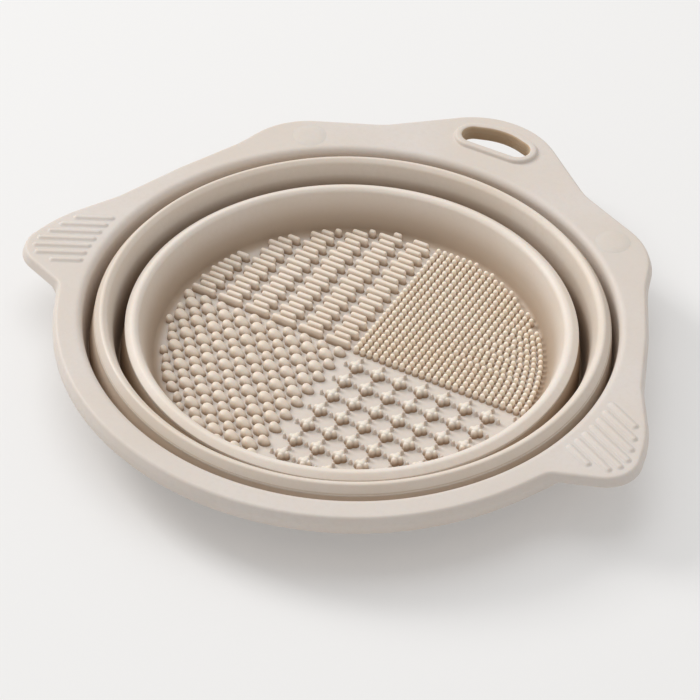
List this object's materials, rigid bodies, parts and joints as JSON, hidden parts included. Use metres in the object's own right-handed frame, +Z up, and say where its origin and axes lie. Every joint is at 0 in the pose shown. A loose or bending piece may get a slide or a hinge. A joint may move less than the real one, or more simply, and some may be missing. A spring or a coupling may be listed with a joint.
{
  "type": "collapsible brush-cleaning bowl",
  "caption": "Round silicone bowl that folds flat in concentric rings, with a nubbed scrubbing floor in quarters, a lobed flange with a hang slot and two ribbed finger tabs.",
  "frame": {"origin": "on the bowl's axis, at the flat underside that it stands on", "axes": "+Z up out of the bowl, +Y towards the hang slot, +X towards the right finger tab; stored folded flat"},
  "size_m": [0.157, 0.1515, 0.0169],
  "materials": {
    "silicone": "satin moulded silicone, warm beige, slightly translucent"
  },
  "bodies": {
    "cup": {"floor_plate": "silicone", "cup_wall": "silicone", "cup_crest": "silicone", "fine_pin_field": "silicone", "bar_field": "silicone", "egg_nub_field": "silicone", "cross_field": "silicone", "inner_fold_web": "silicone"},
    "middle_ring": {"middle_ring_wall": "silicone", "middle_ring_crest": "silicone", "outer_fold_web": "silicone"},
    "rim": {"rim_wall": "silicone", "rim_lip": "silicone", "rim_flange": "silicone", "hang_slot_bead": "silicone", "right_grip_ribs": "silicone", "left_grip_ribs": "silicone", "right_ear_pad": "silicone", "left_ear_pad": "silicone"}
  },
  "joints": [
    {"name": "inner_fold", "type": "slide", "parent": "cup", "child": "middle_ring", "axis": [0, 0, 1], "range_m": [0, 0.0192], "deforming": ["inner_fold_web"]},
    {"name": "outer_fold", "type": "slide", "parent": "middle_ring", "child": "rim", "axis": [0, 0, 1], "range_m": [0, 0.016], "deforming": ["outer_fold_web"]}
  ]
}
